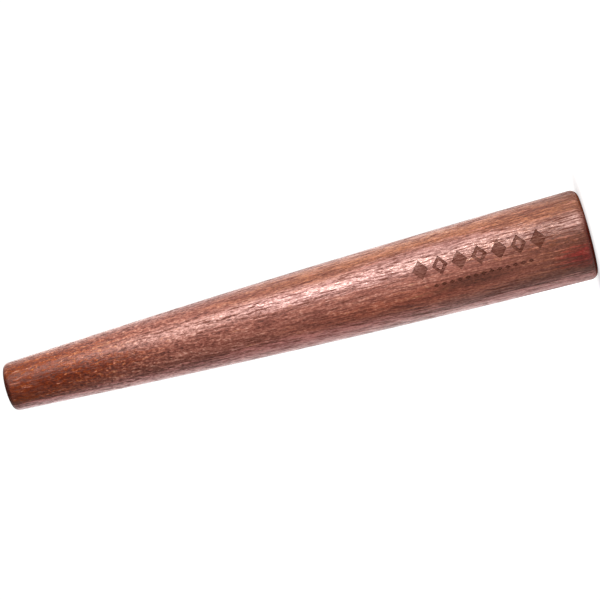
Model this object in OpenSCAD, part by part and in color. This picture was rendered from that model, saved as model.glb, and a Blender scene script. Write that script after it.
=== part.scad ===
// Bar muddler: a slim club turned from one billet of open-pored walnut, with no other piece in it.
// The broad end is a flat striking face, which crushes fruit and herbs in a glass, and the slim end
// is the grip. A plain ornament is burnt into the side near the striking end.
// The club stands on its striking face. The origin is the middle of that face, +Z runs up the axis
// to the grip end, and the ornament faces -Y.

/* [Club] */
// Length from the striking face to the grip end
length = 250; // [200:5:300]
// Diameter of the striking end
head_d = 38; // [32:0.5:46]
// Diameter of the grip end
grip_d = 20.5; // [16:0.5:26]
// How far the side swells beyond a straight taper, halfway up
belly = 1.3; // [0.5:0.1:3]

/* [Rounded edges] */
// Radius of the edge round the striking face
head_edge_r = 3.2; // [1:0.1:4]
// Radius of the edge round the grip end
grip_edge_r = 2; // [1:0.1:4]

/* [Burnt ornament] */
// Depth of the ornament, straight in from the side
burn_depth = 0.3; // [0.15:0.05:0.6]
// Height of the ornament's middle above the striking face
ornament_z = 45.5; // [42:0.5:60]
// Number of lozenges in the row
lozenge_count = 7; // [3:2:9]
// Length of a lozenge, along the axis
lozenge_l = 6.6; // [4:0.1:7]
// Width of a lozenge, across the axis
lozenge_w = 8.2; // [4:0.1:10]
// Size of the plain centre that every second lozenge keeps, as a share of the lozenge
centre_share = 0.5; // [0.3:0.05:0.6]
// Distance from each lozenge to the next
lozenge_pitch = 8.2; // [7.5:0.1:8.5]
// Number of seeds in the row beside the lozenges
seed_count = 13; // [5:2:15]
// Length of a seed, along the axis
seed_l = 2.4; // [1.5:0.1:2.6]
// Width of a seed, across the axis
seed_w = 1.6; // [1:0.1:2.5]
// Distance from each seed to the next
seed_pitch = 3.3; // [3:0.1:3.6]

/* [Hidden] */
side_steps = 24;      // straight stretches that the side's long curve is drawn with
edge_steps = 8;       // straight stretches in each rounded edge
lozenge_x = 3;        // middle of the lozenge row, across the axis
seed_x = -4.75;       // middle of the seed row, across the axis

head_r = head_d / 2;
grip_r = grip_d / 2;

// How far the side leans in towards the axis at each end, in degrees
head_lean = atan((head_r - grip_r - 4 * belly) / length);
grip_lean = atan((head_r - grip_r + 4 * belly) / length);

// Radius of the side at a height: a straight taper with a parabolic swell on it
function side_r(z) = head_r + (grip_r - head_r) * z / length
                   + 4 * belly * (z / length) * (1 - z / length);

// Middle of the circle that rounds each end's edge, touching both the side and the flat face
head_round = [head_r - head_edge_r * (tan(head_lean) + 1 / cos(head_lean)), head_edge_r];
grip_round = [grip_r + grip_edge_r * (tan(grip_lean) - 1 / cos(grip_lean)), length - grip_edge_r];

// Heights where the side takes over from the rounded edges
side_low = head_round.y + head_edge_r * sin(head_lean);
side_high = grip_round.y + grip_edge_r * sin(grip_lean);

// Points of an arc about a middle, from one angle to another
function arc(middle, r, from, to) = [
    for (i = [0 : edge_steps])
        let (a = from + (to - from) * i / edge_steps)
        middle + r * [cos(a), sin(a)]
];

// Points of the side strictly between two heights, shifted in towards the axis
function side(low, high, shift = 0) = [
    for (i = [1 : side_steps - 1])
        let (z = low + (high - low) * i / side_steps)
        [side_r(z) - shift, z]
];

module turned(outline) {
    rotate_extrude($fn = 180) polygon(outline);
}

// The club's whole outline, from the middle of the striking face round to the middle of the grip end
module club() {
    turned(concat(
        [[0, 0]],
        arc(head_round, head_edge_r, -90, head_lean),
        side(side_low, side_high),
        arc(grip_round, grip_edge_r, grip_lean, 90),
        [[0, length]]
    ));
}

// What is left of the club under the burnt ornament's floor
module unburnt_core() {
    turned(concat(
        [[0, 0], [head_r - burn_depth, 0]],
        side(0, length, burn_depth),
        [[grip_r - burn_depth, length], [0, length]]
    ));
}

module lozenge(l, w) {
    polygon([[-w / 2, 0], [0, -l / 2], [w / 2, 0], [0, l / 2]]);
}

// A row of evenly spaced flat shapes up the axis, at one distance across it
module row(x, count, pitch) {
    for (i = [0 : count - 1])
        translate([x, ornament_z + (i - (count - 1) / 2) * pitch]) {
            $place = i;
            children();
        }
}

module ornament_outline() {
    row(lozenge_x, lozenge_count, lozenge_pitch) difference() {
        lozenge(lozenge_l, lozenge_w);
        if ($place % 2 == 1) lozenge(lozenge_l * centre_share, lozenge_w * centre_share);
    }
    row(seed_x, seed_count, seed_pitch) lozenge(seed_l, seed_w);
}

// The wood that the ornament burns away: its outline pushed in from the front, down to the core
module burnt_away() {
    difference() {
        rotate([90, 0, 0]) linear_extrude(head_d) ornament_outline();
        unburnt_core();
    }
}

module muddler() {
    color("#9c6350") difference() {
        club();
        burnt_away();
    }
}

muddler();
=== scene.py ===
"""A bar muddler turned from one billet of walnut, standing on its striking face.

Metres, in the CAD frame: the origin is the middle of the striking face, +Z runs up the axis to the
grip end, and the burnt ornament faces -Y.
"""

import math

import bmesh
import bpy
from mathutils import Matrix, Vector, noise


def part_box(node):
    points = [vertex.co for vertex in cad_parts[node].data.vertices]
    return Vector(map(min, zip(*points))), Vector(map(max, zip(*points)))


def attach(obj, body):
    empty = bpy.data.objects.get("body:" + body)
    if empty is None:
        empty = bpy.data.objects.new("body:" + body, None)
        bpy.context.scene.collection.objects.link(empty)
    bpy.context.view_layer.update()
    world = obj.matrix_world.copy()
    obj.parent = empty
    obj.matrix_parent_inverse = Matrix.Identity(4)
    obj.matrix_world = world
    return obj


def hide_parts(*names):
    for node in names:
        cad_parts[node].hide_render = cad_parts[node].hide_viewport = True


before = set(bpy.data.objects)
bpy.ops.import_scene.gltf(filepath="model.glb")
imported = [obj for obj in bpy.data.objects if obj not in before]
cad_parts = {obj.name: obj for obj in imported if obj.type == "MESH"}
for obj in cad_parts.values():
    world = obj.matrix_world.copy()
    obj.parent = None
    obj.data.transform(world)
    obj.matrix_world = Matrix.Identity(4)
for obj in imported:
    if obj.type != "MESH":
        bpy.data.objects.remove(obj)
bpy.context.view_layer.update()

# ------------------------------------------------------------------------------------------ camera
# A long lens looks level at the club from the ornament's side. The camera is rolled, so that the
# club lies across the picture, and it stands opposite the lower part of the club, turned slightly
# up towards its middle.

club_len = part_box("muddler")[1].z
aim = Vector((0.0040, 0.0, 0.1219))
camera_at = Vector((0.0040, -0.853, 0.0546))
club_slope = math.radians(14.93)       # the club's axis, against the picture's lower edge
picture_w = 0.2500                     # width that the picture takes in at the club

forward = (aim - camera_at).normalized()
picture_right = Vector((-math.sin(club_slope), 0.0, -math.cos(club_slope)))
picture_right = (picture_right - forward * picture_right.dot(forward)).normalized()
picture_up = picture_right.cross(forward)

camera = bpy.data.objects.new("camera", bpy.data.cameras.new("camera"))
bpy.context.scene.collection.objects.link(camera)
turn = Matrix((picture_right, picture_up, -forward)).transposed()
camera.matrix_world = Matrix.Translation(camera_at) @ turn.to_4x4()
camera.data.lens = camera.data.sensor_width * (aim - camera_at).length / picture_w
camera.data.clip_end = 50
bpy.context.scene.camera = camera

# -------------------------------------------------------------------------------------------- club
# The club is one billet of black walnut, turned between centres and sanded on the lathe. Its side
# is a straight taper that swells a little, and its two ends are flat with softly rounded edges.

head_r = 0.0190
grip_r = 0.01025
belly = 0.0013
head_edge_r = 0.0032
grip_edge_r = 0.0020
side_rings = 320
edge_rings = 9
face_rings = 14
spokes = 216


def side_r(z):
    """Radius of the side at a height."""
    up = z / club_len
    return head_r + (grip_r - head_r) * up + 4 * belly * up * (1 - up)


def club_outline():
    """Half the club's outline in the XZ plane, from the striking face's middle to the grip end's."""
    head_lean = math.atan((head_r - grip_r - 4 * belly) / club_len)
    grip_lean = math.atan((head_r - grip_r + 4 * belly) / club_len)
    head_x = head_r - head_edge_r * (math.tan(head_lean) + 1 / math.cos(head_lean))
    grip_x = grip_r + grip_edge_r * (math.tan(grip_lean) - 1 / math.cos(grip_lean))
    outline = [(head_x * i / face_rings, 0.0) for i in range(face_rings)]
    for i in range(edge_rings):
        a = -math.pi / 2 + (head_lean + math.pi / 2) * i / edge_rings
        outline.append((head_x + head_edge_r * math.cos(a), head_edge_r * (1 + math.sin(a))))
    low = head_edge_r * (1 + math.sin(head_lean))
    high = club_len - grip_edge_r * (1 - math.sin(grip_lean))
    for i in range(side_rings):
        z = low + (high - low) * i / side_rings
        outline.append((side_r(z), z))
    for i in range(edge_rings):
        a = grip_lean + (math.pi / 2 - grip_lean) * i / edge_rings
        outline.append((grip_x + grip_edge_r * math.cos(a), club_len - grip_edge_r * (1 - math.sin(a))))
    outline += [(grip_x * (face_rings - i) / face_rings, club_len) for i in range(face_rings + 1)]
    return outline


def piece_of(name, bm):
    """Makes a bmesh an object at the origin."""
    mesh = bpy.data.meshes.new(name)
    bm.to_mesh(mesh)
    bm.free()
    piece = bpy.data.objects.new(name, mesh)
    bpy.context.scene.collection.objects.link(piece)
    return piece


def turned(outline):
    """Spins an outline about the axis into a closed solid."""
    bm = bmesh.new()
    points = [bm.verts.new((x, 0.0, z)) for x, z in outline]
    lines = [bm.edges.new(pair) for pair in zip(points, points[1:])]
    bmesh.ops.spin(bm, geom=points + lines, cent=(0, 0, 0), axis=(0, 0, 1), dvec=(0, 0, 0),
                   angle=math.tau, steps=spokes, use_merge=True)
    bmesh.ops.remove_doubles(bm, verts=bm.verts, dist=1e-6)
    bmesh.ops.recalc_face_normals(bm, faces=bm.faces)
    return bm


# The lathe leaves faint rings round the side and sanding leaves shallow dips, a few hundredths of a
# millimetre deep. They keep the sheen from running dead straight. The middles of the ends stay flat.

flat_r = 0.007
mean_cut = 4e-5
ring_depth = 2e-5
dip_depth = 2e-5
rings_per_metre = 60
dips_per_metre = 90

club_mesh = turned(club_outline())
for vert in club_mesh.verts:
    r = vert.co.xy.length
    if r > flat_r:
        ring = noise.noise(Vector((0, 0, vert.co.z * rings_per_metre)))
        dip = noise.noise(vert.co * dips_per_metre)
        vert.co.xy *= 1 - (mean_cut + ring_depth * ring + dip_depth * dip) / r

# The ornament is burnt into the side with a hot stamp: a row of lozenges, every second one with a
# plain centre, beside a row of seeds. Its floor lies a little below the wood round it.

burn_depth = 0.0003
ornament_z = 0.0455
lozenge = (0.0082, 0.0066)             # across the axis, and along it
lozenge_row = (0.0030, 7, 0.0082)      # distance across the axis, count, pitch
seed = (0.0016, 0.0024)
seed_row = (-0.00475, 13, 0.0033)
score_reach = 0.0020                   # how far past a shape its cuts may run
end_slot, burnt_slot = 1, 2            # the side keeps slot 0
low_rim = 0.0012                       # end grain shows this far up the foot's rounded edge
high_rim = 0.0008                      # and this far down the grip end's


def row_of(size, row):
    """Middles and sizes of the shapes in a row."""
    x, count, pitch = row
    return [(x, ornament_z + (i - (count - 1) / 2) * pitch, *size) for i in range(count)]


def inside(face, shape):
    """Whether a face on the ornament's side lies inside a lozenge."""
    x, z, width, length = shape
    at = face.calc_center_median()
    return at.y < 0 and abs(at.x - x) / width + abs(at.z - z) / length < 0.5


def score(bm, shape):
    """Cuts a lozenge's outline into the front of the club."""
    x, z, width, length = shape
    for lean_x, lean_z in ((1, 1), (1, -1), (-1, 1), (-1, -1)):
        near = [f for f in bm.faces if f.calc_center_median().y < 0
                and all(abs(v.co.x - x) < width / 2 + score_reach
                        and abs(v.co.z - z) < length / 2 + score_reach for v in f.verts)]
        geom = dict.fromkeys(part for f in near for part in (f, *f.edges, *f.verts))
        bmesh.ops.bisect_plane(bm, geom=list(geom), dist=1e-7,
                               plane_co=(x + lean_x * width / 2, 0, z),
                               plane_no=(lean_x / width, 0, lean_z / length))


lozenges = row_of(lozenge, lozenge_row)
plain_centres = [(x, z, width / 2, length / 2) for x, z, width, length in lozenges[1::2]]
seeds = row_of(seed, seed_row)
for shape in lozenges + plain_centres + seeds:
    score(club_mesh, shape)
burnt = [f for f in club_mesh.faces if any(inside(f, shape) for shape in lozenges + seeds)
         and not any(inside(f, shape) for shape in plain_centres)]
burnt = dict.fromkeys(part for f in burnt for part in (f, *f.edges))   # each once, in a fixed order
pressed = bmesh.ops.extrude_face_region(club_mesh, geom=list(burnt))["geom"]
for part in pressed:
    if isinstance(part, bmesh.types.BMVert):
        r = part.co.xy.length
        part.co.xy *= (r - burn_depth) / r
        for face in part.link_faces:
            face.material_index = burnt_slot
for face in club_mesh.faces:
    face.smooth = True
    if not low_rim < face.calc_center_median().z < club_len - high_rim:
        face.material_index = end_slot

club = piece_of("turned_club", club_mesh)
club.data.set_sharp_from_angle(angle=math.radians(35))
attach(club, "root")
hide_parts("muddler")


def hex_colour(code):
    """An sRGB hex colour, turned linear."""
    channels = [int(code[i:i + 2], 16) / 255 for i in (1, 3, 5)]
    linear = [c / 12.92 if c <= 0.04045 else ((c + 0.055) / 1.055) ** 2.4 for c in channels]
    return (*linear, 1.0)


def add(tree, kind, inputs, out=0, **settings):
    """Adds a shader node with its settings, fills its inputs with links or values, gives an output."""
    node = tree.nodes.new("ShaderNode" + kind)
    for name, value in settings.items():
        setattr(node, name, value)
    for key, value in inputs.items():
        if isinstance(value, bpy.types.NodeSocket):
            tree.links.new(value, node.inputs[key])
        else:
            node.inputs[key].default_value = value
    return node.outputs[out]


def blend(tree, base, *terms):
    """A base value plus sockets, each times its share."""
    for socket, share in terms:
        base = add(tree, "Math", {0: socket, 1: share, 2: base}, operation="MULTIPLY_ADD")
    return base


def cells(tree, fibres, across, along, detail, shift=0.0):
    """Noise whose cells have a width and a length in millimetres, the length along the grain."""
    squeezed = add(tree, "Mapping", {"Vector": fibres, "Location": (shift, 2 * shift, 3 * shift),
                                     "Scale": (1 / across, 1 / across, 1 / along)})
    return add(tree, "TexNoise", {"Vector": squeezed, "Scale": 1.0, "Detail": detail,
                                  "Roughness": 0.62}, "Fac")


def vessels(tree, fibres, spacing, length, width, shift=0.0):
    """Pores cut open at the surface: 1 in a pore, 0 between them, in millimetres."""
    squeezed = add(tree, "Mapping", {"Vector": fibres, "Location": (shift, shift, 0),
                                     "Scale": (1 / spacing, 1 / spacing, 1 / length)})
    near = add(tree, "TexVoronoi", {"Vector": squeezed, "Scale": 1.0}, "Distance")
    return add(tree, "MapRange", {"Value": near, "From Min": width / spacing,
                                  "From Max": width / spacing / 2}, interpolation_type="SMOOTHSTEP")


def tones(tree, tone, codes):
    """Colours from the wood's darkest tone to its lightest, evenly spaced."""
    ramp = add(tree, "ValToRGB", {"Fac": tone}, "Color")
    for i in range(1, len(codes) - 1):
        ramp.node.color_ramp.elements.new(i / (len(codes) - 1))
    for stop, code in zip(ramp.node.color_ramp.elements, codes):
        stop.color = hex_colour(code)
    return ramp


def patch(tree, place, middle, reach):
    """A soft patch in the wood: 1 at its middle, fading to 0 at its reach, both in millimetres."""
    at = add(tree, "Mapping", {"Vector": place, "Location": [-m / r for m, r in zip(middle, reach)],
                               "Scale": [1 / r for r in reach]})
    return add(tree, "TexGradient", {"Vector": at}, "Fac", gradient_type="SPHERICAL")


# Oiled black walnut, turned and sanded. The oil leaves its pores open, so the eye sees a silky sheen
# that breaks up into fine lines along the grain, over a red-brown that changes from place to place.
# Four tones run from the dark walls of its pores to its palest fibres.

grain_lean = (math.radians(-1.5), math.radians(-1.5), 0)
curl_patch = ((0, -12, 200), (40, 40, 95))
grip_patch = ((0, 0, 270), (60, 60, 102))
walnut_tones = ("#401e18", "#68362c", "#8c574a", "#bf9080")
pale_tones = ("#84423c", "#a65f58", "#c88078", "#e2a69e")
# tones for a painted highlight, the sheen drawn into the wood's colour
painted_sheen_tones = ("#603430", "#92605a", "#bb908a", "#dec0bc")
pore_colour = "#52261a"
# oil-soaked end grain, also used for painted shade on the rounded edges
soaked_and_edge_shade_colour = "#431f16"
char_colour = "#38190f"
# Patches of other wood, some of them painted highlight and painted shade
walnut_and_painted_light_patches = (
    # browner wood at the foot
    ((0, 0, -14), (60, 60, 90), ("#2d1308", "#4a2212", "#6a3822", "#965f42")),
    # a painted highlight up the front: a paler, pinker band drawn into the wood where the sheen falls
    ((6.5, -14, 106), (6.5, 9, 70), painted_sheen_tones),
    ((4, -12, 172), (5.5, 9, 48), ("#4b2620", "#774539", "#9c6b60", "#caa195")),
    # a tawny layer along one side
    ((13.5, -12, 60), (11, 16, 150), ("#462519", "#6d3b28", "#955d40", "#bd8966")),
    # its edge towards the ornament, drawn pinker as more painted highlight where the sheen falls
    ((9.5, -15, 64), (5, 10, 56), ("#4c2c29", "#784b45", "#a0746c", "#c6a49c")),
    # its darker foot, and beside that a painted highlight, paler and pinker, where the sheen ends
    ((15, -10, 0), (8, 12, 22), ("#3a1d12", "#5a301e", "#7a482e", "#9e6e4e")),
    ((6.0, -17, 3), (6, 8, 14), ("#502c28", "#7c5048", "#a67c70", "#caa8a0")),
    # orange-brown heartwood round the grip, deepest at its front
    ((0, 0, 270), (60, 60, 102), ("#3a1005", "#5a230d", "#803a16", "#ac7040")),
    ((3, -9, 251), (9, 9, 13), ("#2e0e04", "#481a08", "#66290e", "#8e4f24")),
    ((-1.0, -12, 240), (9, 10, 84), ("#340d04", "#521c0b", "#702f16", "#9a5c38")),
    # paler up the other side, from the foot to the grip
    ((-19, -6, 25), (8, 16, 90), pale_tones),
    ((-14.5, -8, 128), (9, 15, 95), pale_tones),
    ((-13, -4, 205), (8, 14, 80), pale_tones),
    ((-11, -4, 243), (5, 12, 34), ("#783236", "#984e4c", "#bc6a6a", "#d8908a")),
    # a warmer layer beside the seeds
    ((-7.5, -14, 72), (6.5, 10, 84), ("#451c11", "#733627", "#955542", "#c58e79")),
    # a red stain at the foot
    ((-8.5, -17.5, 2), (8, 9, 19), ("#2c0304", "#5c0c0a", "#86201a", "#a0504a")),
    # a dark knot of grain under the seeds
    ((-6.5, -17.0, 48), (4.5, 6, 32), ("#2c130d", "#452117", "#66372a", "#8c5a49")),
    # the two rims: darker where cut fibres have drunk the most oil, and near black as painted shade
    ((-5, -19, 0.9), (24, 30, 1.9), ("#160000", "#300402", "#520d08", "#701c14")),
    ((-0.5, -10, 248.9), (8, 22, 1.7), ("#120000", "#220302", "#380a07", "#521812")),
    # paler end grain in the middle of the grip end
    ((0, 0, 250.2), (14, 14, 0.8), ("#3c1c10", "#74442a", "#a87450", "#d0a47c")),
)


def oiled_walnut(name, gloss, char=0.0):
    """Oiled black walnut, with its gloss and how far it is charred. Patterns are in millimetres."""
    material = bpy.data.materials.new(name)
    material.use_nodes = True
    tree = material.node_tree
    shader = tree.nodes["Principled BSDF"]
    spot = add(tree, "TexCoord", {}, "Object")
    place = add(tree, "Mapping", {"Vector": spot, "Scale": (1000, 1000, 1000)})
    sawn = add(tree, "Mapping", {"Vector": place, "Rotation": grain_lean})
    curly = patch(tree, place, *curl_patch)

    # The fibres sway by 2.4 mm as they run up the billet, over 22 mm across and 70 mm along it, and
    # curl where a branch once grew out of it, in waves of 2 by 4.5 mm.
    sway = add(tree, "Mapping", {"Vector": sawn, "Scale": (1 / 22, 1 / 22, 1 / 70)})
    sway = add(tree, "TexNoise", {"Vector": sway, "Scale": 1.0, "Detail": 0.0}, "Color")
    curl = add(tree, "Mapping", {"Vector": sawn, "Scale": (1 / 2.0, 1 / 2.0, 1 / 4.5)})
    curl = add(tree, "TexNoise", {"Vector": curl, "Scale": 1.0, "Detail": 1.0}, "Color")
    sway = add(tree, "VectorMath", {0: sway, 1: (2.4, 2.4, 0.0), 2: sawn}, operation="MULTIPLY_ADD")
    curl = add(tree, "VectorMath", {0: curl, 1: (0.5, 0.5, 0.5)}, operation="SUBTRACT")
    curl = add(tree, "VectorMath", {0: curl, "Scale": blend(tree, 0.1, (curly, 2.1))},
               operation="SCALE")
    fibres = add(tree, "VectorMath", {0: sway, 1: curl}, operation="ADD")

    # Figure is the broad colour of the growth rings, 7 mm apart. Streaks are bundles of fibres,
    # dashes are shorter ones, and specks are the cut ends of rays. Mottle is the shimmer of curly
    # grain. Real pores are 0.1 to 0.3 mm wide, too fine to show, so they are drawn as coarse as they
    # need to show, and so are the dashes and specks.
    figure = cells(tree, fibres, 7.0, 80, 1.0, 5.0)
    streaks = cells(tree, fibres, 1.1, 45, 3.0)
    dashes = cells(tree, fibres, 0.62, 8, 3.0, 3.0)
    specks = cells(tree, fibres, 0.5, 1.3, 2.0, 9.0)
    mottle = cells(tree, fibres, 0.9, 1.5, 2.0, 7.0)
    mottle = add(tree, "Math", {0: mottle, 1: 0.5}, operation="SUBTRACT")
    mottle = add(tree, "Math", {0: mottle, 1: curly}, operation="MULTIPLY")
    long_pores = vessels(tree, fibres, 0.95, 26, 0.36)
    short_pores = vessels(tree, fibres, 0.85, 6, 0.34, 4.0)
    open_grain = blend(tree, 0.0, (long_pores, 0.6), (short_pores, 0.55))

    # How light the wood is, from its darkest tone at 0 to its lightest at 1, and where each patch of
    # other wood or of painted light takes over, with an edge that is as ragged as the grain
    tone = blend(tree, -1.38, (figure, 0.34), (streaks, 1.1), (dashes, 1.0), (specks, 1.3),
                 (mottle, 1.9))
    ragged = blend(tree, -1.25, (streaks, 1.2), (dashes, 1.3))
    colour = tones(tree, tone, walnut_tones)
    for middle, reach, codes in walnut_and_painted_light_patches:
        share = add(tree, "Math", {0: patch(tree, place, middle, reach), 1: ragged}, operation="ADD")
        share = add(tree, "MapRange", {"Value": share, "From Min": 0.15, "From Max": 0.75},
                    interpolation_type="SMOOTHSTEP")
        colour = add(tree, "Mix", {"Factor": share, 6: colour, 7: tones(tree, tone, codes)}, 2,
                     data_type="RGBA")
    colour = add(tree, "Mix", {"Factor": open_grain, 6: colour, 7: hex_colour(pore_colour)}, 2,
                 data_type="RGBA")

    # End grain drinks more oil, so the rounded edges and the two ends are darker, and the rounded
    # edges also carry painted shade. Oil has crept up to 17 mm along the side from each end.
    height = add(tree, "SeparateXYZ", {"Vector": place}, "Z")
    low_end = add(tree, "MapRange", {"Value": height, "From Min": 1.3, "From Max": 0.2},
                  interpolation_type="SMOOTHSTEP")
    high_end = add(tree, "MapRange", {"Value": height, "From Min": 248.8, "From Max": 249.7},
                   interpolation_type="SMOOTHSTEP")
    soaked = add(tree, "Math", {0: height, 1: 125}, operation="SUBTRACT")
    soaked = add(tree, "Math", {0: soaked}, operation="ABSOLUTE")
    soaked = add(tree, "MapRange", {"Value": soaked, "From Min": 108, "From Max": 125})
    end_grain_and_edge_shade = blend(tree, 0.0, (low_end, 0.4), (high_end, 0.4), (soaked, 0.25))
    colour = add(tree, "Mix", {"Factor": end_grain_and_edge_shade, 6: colour, 7: hex_colour(soaked_and_edge_shade_colour)}, 2,
                 data_type="RGBA")
    charred = blend(tree, char * 0.5, (dashes, char * 0.8))
    colour = add(tree, "Mix", {"Factor": charred, 6: colour, 7: hex_colour(char_colour)}, 2,
                 data_type="RGBA")
    tree.links.new(colour, shader.inputs["Base Color"])

    # Pale fibres are hard and take a finer polish. Open pores, end grain and char are rough, and the
    # hand has smoothed the grip. The fibres stand about a tenth of a millimetre above the pores. The
    # oil warms the sheen a little.
    held = patch(tree, place, *grip_patch)
    rough = blend(tree, 0.62 + 0.4 * char, (tone, -0.5), (open_grain, 0.5), (end_grain_and_edge_shade, 0.25),
                  (held, -0.14))
    tree.links.new(rough, shader.inputs["Roughness"])
    relief = blend(tree, 0.0, (streaks, 1.0), (dashes, 0.6), (specks, 0.5), (open_grain, -0.7))
    bump = add(tree, "Bump", {"Height": relief, "Strength": 1.0, "Distance": 0.00008})
    tree.links.new(bump, shader.inputs["Normal"])
    shader.inputs["IOR"].default_value = 1.45
    shader.inputs["Specular IOR Level"].default_value = gloss
    shader.inputs["Specular Tint"].default_value = hex_colour("#ffe2da")
    return material


# The side is silky. The ends are cut across the fibres, so they are drawn quite matt, with no sheen.
# The ornament's floor is scorched, so it is dark and nearly matt.
club.data.materials.append(oiled_walnut("oiled_walnut", 0.55))
club.data.materials.append(oiled_walnut("oiled_walnut_end_grain", 0.0))
club.data.materials.append(oiled_walnut("burnt_walnut", 0.3, 0.62))

# ------------------------------------------------------------------------------- floor and lights
# The club stands on a white table that glows softly, in a white tent that is dim towards the
# camera's side and bright behind. One soft window, above the club in the picture, makes the sheen.

table_r = 1.4
table_bm = bmesh.new()
bmesh.ops.create_circle(table_bm, cap_ends=True, segments=96, radius=table_r)
table = piece_of("table", table_bm)

# Matt white paint, rolled on, which shows no reflection. Its glow is drawn dimmer close to the club,
# which stands in for the shade under it.
paint = bpy.data.materials.new("matt_white_paint")
paint.use_nodes = True
shader = paint.node_tree.nodes["Principled BSDF"]
shader.inputs["Base Color"].default_value = hex_colour("#cbcbcb")
shader.inputs["Roughness"].default_value = 0.9
shader.inputs["Emission Color"].default_value = hex_colour("#ffffff")
spot = add(paint.node_tree, "TexCoord", {}, "Object")
far = add(paint.node_tree, "VectorMath", {0: spot}, "Value", operation="LENGTH")
glow = add(paint.node_tree, "MapRange", {"Value": far, "From Min": 0.012, "From Max": 0.04,
                                         "To Min": 0.45, "To Max": 0.78},
           interpolation_type="SMOOTHSTEP")
paint.node_tree.links.new(glow, shader.inputs["Emission Strength"])
table.data.materials.append(paint)

# The window stands 1.5 m away, 41 degrees round from the camera's side towards +X.
key_side = math.radians(41)
key_far = 1.5
key_height = 0.22
key_aim = Vector((0, 0, 0.12))
key = bpy.data.lights.new("key", "AREA")
key.shape = "RECTANGLE"
key.size = 0.70
key.size_y = 0.34
key.energy = 34
window = bpy.data.objects.new("key", key)
bpy.context.scene.collection.objects.link(window)
window.location = (key_far * math.sin(key_side), -key_far * math.cos(key_side), key_height)
window.rotation_euler = (key_aim - window.location).to_track_quat("-Z", "Y").to_euler()
window.visible_camera = False

# The tent lights the club but shows to the camera as plain white.
scene = bpy.context.scene
scene.view_settings.view_transform = "Standard"
studio = bpy.data.worlds.new("studio")
scene.world = studio
studio.use_nodes = True
tree = studio.node_tree
way = add(tree, "TexCoord", {}, "Generated")
behind = add(tree, "SeparateXYZ", {"Vector": way}, "Y")
tent = add(tree, "MapRange", {"Value": behind, "From Min": -0.15, "From Max": 0.7,
                              "To Min": 0.12, "To Max": 2.2}, interpolation_type="SMOOTHSTEP")
above = add(tree, "SeparateXYZ", {"Vector": way}, "Z")
roof = add(tree, "MapRange", {"Value": above, "From Min": 0.2, "From Max": 0.8,
                              "To Min": 1.0, "To Max": 0.3}, interpolation_type="SMOOTHSTEP")
tent = add(tree, "Math", {0: tent, 1: roof}, operation="MULTIPLY")
seen = add(tree, "Mix", {"Factor": add(tree, "LightPath", {}, "Is Camera Ray"), "A": tent, "B": 1.06})
tree.nodes["Background"].inputs["Color"].default_value = hex_colour("#ffffff")
tree.links.new(seen, tree.nodes["Background"].inputs["Strength"])
